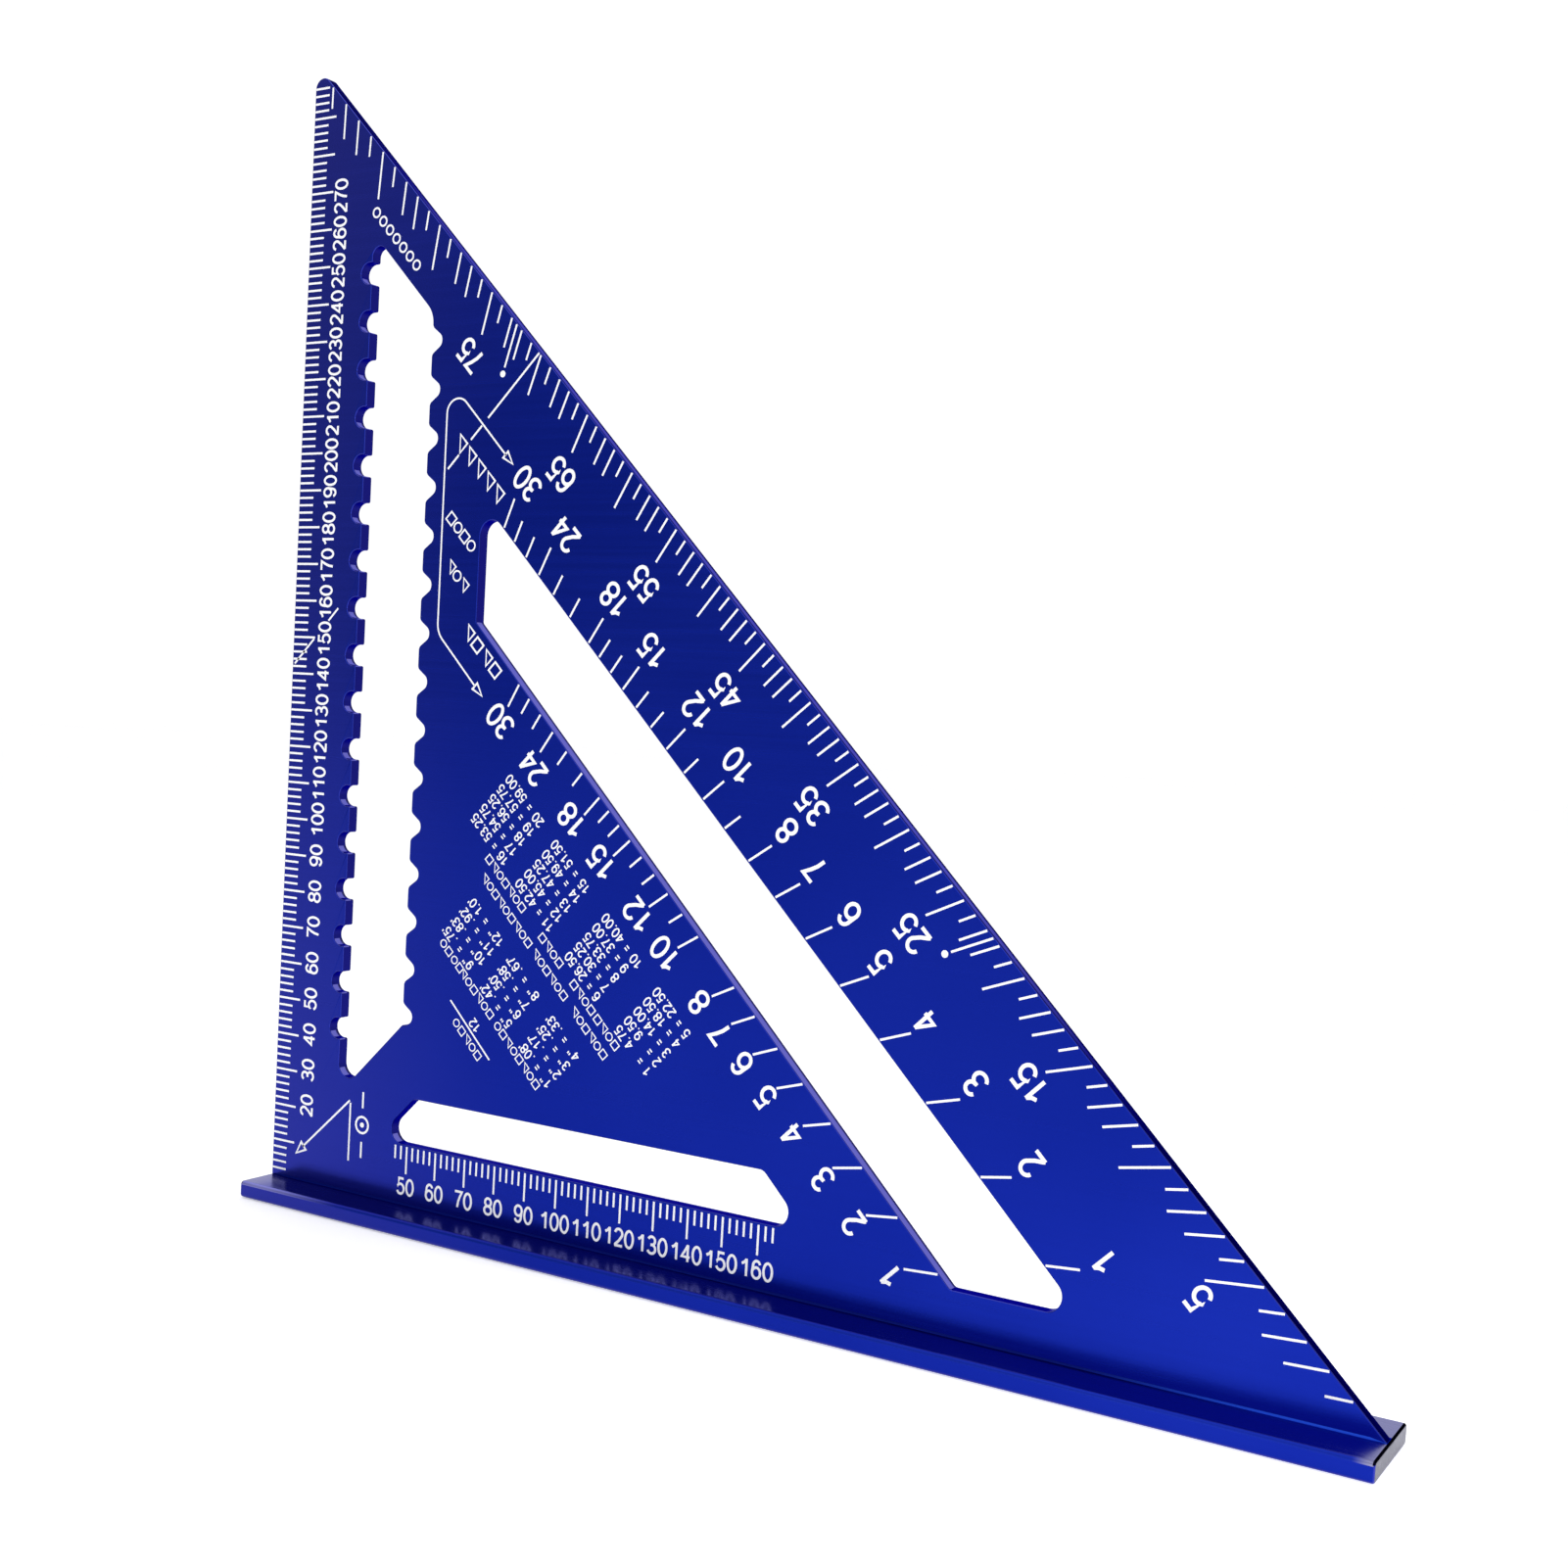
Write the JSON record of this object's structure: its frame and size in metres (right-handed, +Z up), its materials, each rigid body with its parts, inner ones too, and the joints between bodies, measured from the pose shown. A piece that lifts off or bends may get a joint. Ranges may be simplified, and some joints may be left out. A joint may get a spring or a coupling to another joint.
{
  "type": "speed square",
  "caption": "Triangular rafter and layout square: a thin slotted blade with notched and graduated edges, standing on a T-shaped fence that hooks over a board's edge.",
  "frame": {"origin": "middle of the fence's underside, which the square stands on", "axes": "+X along the fence from the right-angled corner to the toe, +Y through the blade's thickness, away from the face with the scales, +Z up the blade"},
  "size_m": [0.3054, 0.0266, 0.3053],
  "materials": {
    "blade_anodised": "blue anodised, satin",
    "fence_anodised": "blue anodised, satin"
  },
  "bodies": {
    "root": {"blade": "blade_anodised", "fence": "fence_anodised"}
  },
  "joints": []
}
